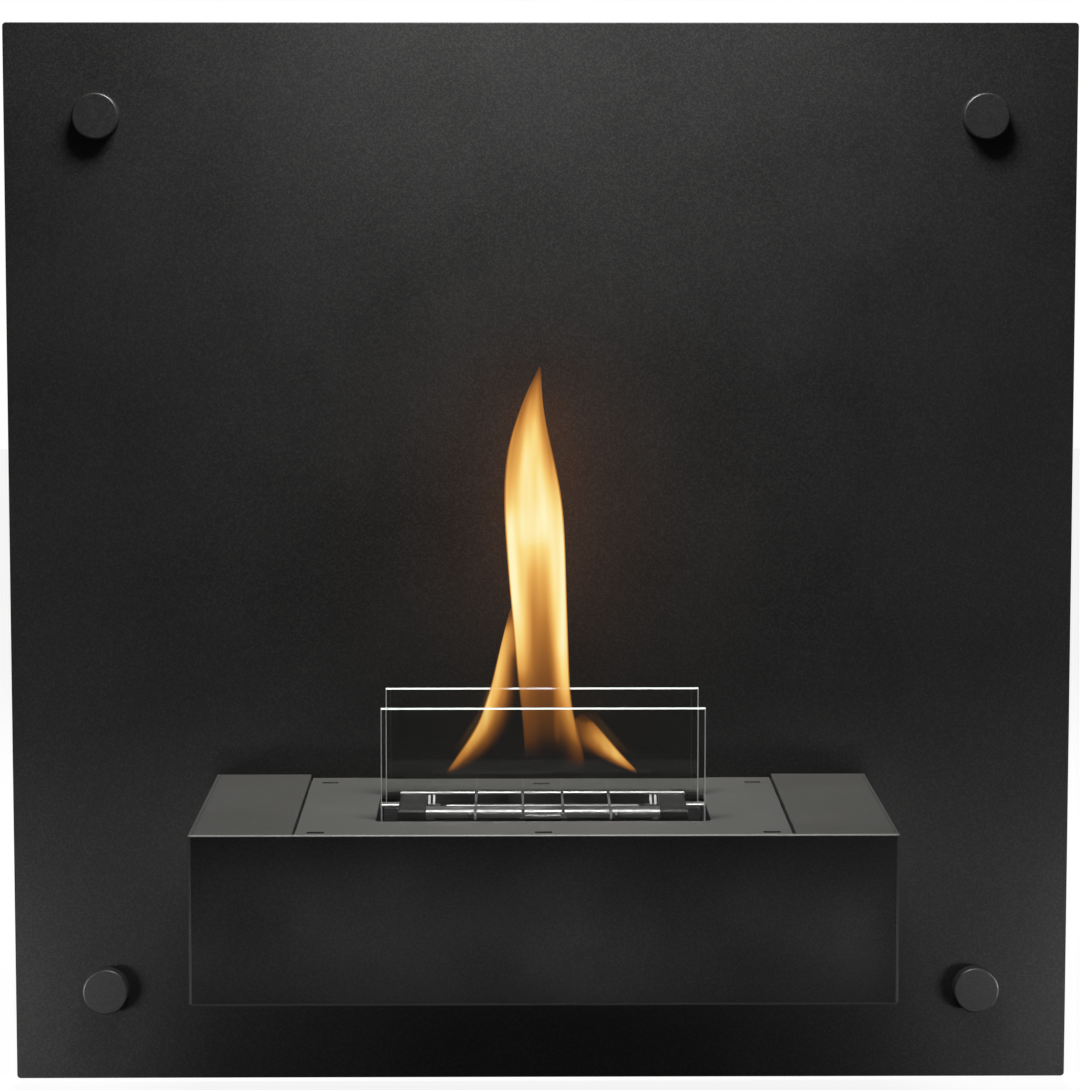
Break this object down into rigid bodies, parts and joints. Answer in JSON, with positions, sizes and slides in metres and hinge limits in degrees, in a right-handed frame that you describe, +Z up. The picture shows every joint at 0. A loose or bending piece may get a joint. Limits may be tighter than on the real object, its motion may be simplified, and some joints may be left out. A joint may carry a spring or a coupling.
{
  "type": "bioethanol fireplace",
  "caption": "Wall-hung bioethanol fireplace: square black plate on standoffs, folded box with a lift-out burner, sliding damper and two upright glass panes.",
  "frame": {"origin": "middle of the four wall fixings, on the wall plane", "axes": "+Z up, -Y out of the wall towards the viewer, +X to the viewer's right"},
  "size_m": [0.6, 0.183, 0.6],
  "materials": {
    "powder_coat": "fine-textured matt black powder coat",
    "cover_coat": "satin dark grey powder coat",
    "well_coat": "matt black heat-resistant paint",
    "standoff_steel": "turned steel",
    "rubber": "matt silicone",
    "zinc_steel": "zinc-plated",
    "stainless": "brushed stainless",
    "bright_stainless": "polished stainless",
    "dark_steel": "dark heat-resistant coat",
    "ceramic": "pressed ceramic fibre",
    "clear_glass": "clear, ground edges"
  },
  "bodies": {
    "wall_panel": {"back_plate": "powder_coat", "box_shell": "powder_coat", "standoff_cap_upper_left": "powder_coat", "standoff_cap_upper_right": "powder_coat", "standoff_cap_lower_left": "powder_coat", "standoff_cap_lower_right": "powder_coat", "left_end_cover": "cover_coat", "right_end_cover": "cover_coat", "front_rail": "well_coat", "rear_rail": "well_coat", "standoff_barrel_upper_left": "standoff_steel", "standoff_barrel_upper_right": "standoff_steel", "standoff_barrel_lower_left": "standoff_steel", "standoff_barrel_lower_right": "standoff_steel", "standoff_washers": "rubber", "box_screws": "zinc_steel", "box_nuts": "zinc_steel", "end_cover_nuts": "zinc_steel"},
    "cover": {"burner_cover": "cover_coat", "burner_well": "well_coat", "front_glass_channel": "stainless", "rear_glass_channel": "stainless", "glass_strips": "rubber"},
    "burner": {"fuel_tank": "stainless", "ceramic_block": "ceramic", "perforated_screen": "stainless", "tank_top": "stainless", "left_end_block": "dark_steel", "right_end_block": "dark_steel", "left_end_lug": "bright_stainless", "right_end_lug": "bright_stainless", "front_rim": "bright_stainless", "rear_rim": "bright_stainless", "rim_rivets": "bright_stainless", "tongue_hood": "bright_stainless", "cross_bars": "bright_stainless", "left_damper_spring": "bright_stainless", "right_damper_spring": "bright_stainless"},
    "damper": {"damper": "bright_stainless"},
    "front_pane": {"front_glass": "clear_glass"},
    "rear_pane": {"rear_glass": "clear_glass"}
  },
  "joints": [
    {"name": "damper_slide", "type": "slide", "parent": "burner", "child": "damper", "axis": [0, 1, 0], "range_m": [0, 0.018]},
    {"name": "burner_lift", "type": "slide", "parent": "cover", "child": "burner", "axis": [0, 0, 1], "range_m": [0, 0.08]},
    {"name": "front_glass_lift", "type": "slide", "parent": "cover", "child": "front_pane", "axis": [0, 0, 1], "range_m": [0, 0.04]},
    {"name": "rear_glass_lift", "type": "slide", "parent": "cover", "child": "rear_pane", "axis": [0, 0, 1], "range_m": [0, 0.04]},
    {"name": "cover_lift", "type": "slide", "parent": "wall_panel", "child": "cover", "axis": [0, 0, 1], "range_m": [0, 0.09]}
  ]
}
